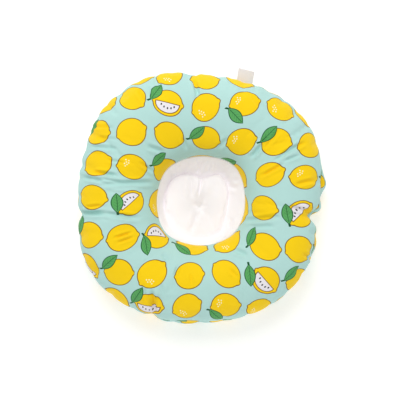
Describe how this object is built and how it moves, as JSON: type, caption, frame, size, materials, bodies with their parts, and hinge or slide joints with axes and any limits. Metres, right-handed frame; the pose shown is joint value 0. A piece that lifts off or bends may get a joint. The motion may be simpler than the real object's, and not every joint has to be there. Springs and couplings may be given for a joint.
{
  "type": "padded recovery collar",
  "caption": "Soft padded ring that a cat or small dog wears round its neck after surgery, with a printed cotton cover, a gathered white cloth neck sleeve and a bare side label.",
  "frame": {"origin": "middle of the footprint, on the surface that the collar lies on", "axes": "+Z through the hole and out of the front panel, +Y towards the edge that is up in the picture, +X to the picture's right"},
  "size_m": [0.2782, 0.2902, 0.0658],
  "materials": {
    "printed_cotton": "matt woven cotton, printed",
    "fibre_fill": "loose white fibre",
    "white_cotton": "matt plain weave",
    "woven_tape": "fine woven tape"
  },
  "bodies": {
    "root": {"front_panel": "printed_cotton", "back_panel": "printed_cotton", "filling": "fibre_fill", "neck_sleeve": "white_cotton", "side_label": "woven_tape"}
  },
  "joints": []
}
